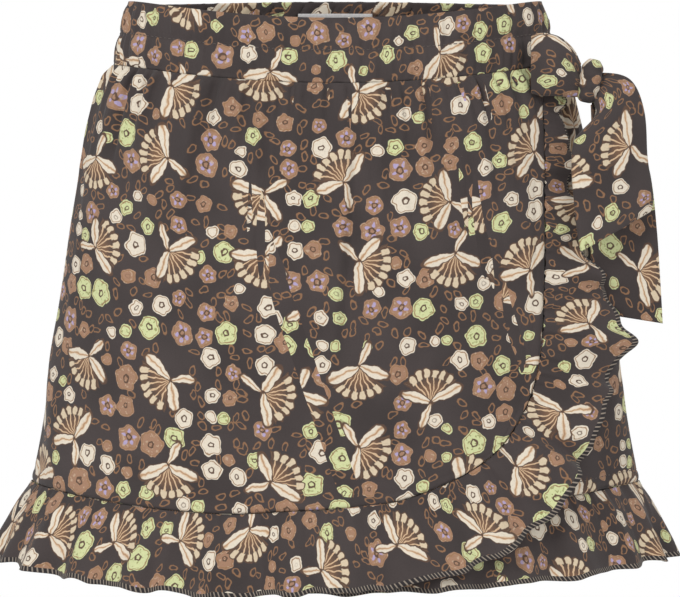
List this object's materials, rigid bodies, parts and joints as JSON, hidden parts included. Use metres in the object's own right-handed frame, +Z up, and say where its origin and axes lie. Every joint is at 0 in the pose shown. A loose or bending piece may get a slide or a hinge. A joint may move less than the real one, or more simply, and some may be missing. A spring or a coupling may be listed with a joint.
{
  "type": "skort",
  "caption": "Child's wrap-look skort with a gathered waistband, ruffled wrap edge and hem, side tie bow and plain inner shorts, in its worn shape.",
  "frame": {"origin": "middle of the waist, level with the top edge of the waistband at the sides, where the wearer holds it", "axes": "+X towards the viewer's right as the front is seen, +Y towards the back, +Z up"},
  "size_m": [0.3508, 0.1794, 0.2989],
  "materials": {
    "print_cloth": "matt woven cloth, dark grey ground with a small flower print",
    "shorts_cloth": "matt plain dark grey cloth",
    "label_cloth": "pale grey woven tape, blank"
  },
  "bodies": {
    "root": {"waistband_front": "print_cloth", "waistband_back": "print_cloth", "label": "label_cloth", "front_overlap": "print_cloth", "front_underlap": "print_cloth", "back_panel": "print_cloth", "overlap_ruffle": "print_cloth", "underlap_ruffle": "print_cloth", "back_ruffle": "print_cloth", "tie_loop_left": "print_cloth", "tie_loop_right": "print_cloth", "tie_end": "print_cloth", "tie_strap": "print_cloth", "tie_knot": "print_cloth", "shorts_left": "shorts_cloth", "shorts_right": "shorts_cloth"}
  },
  "joints": []
}
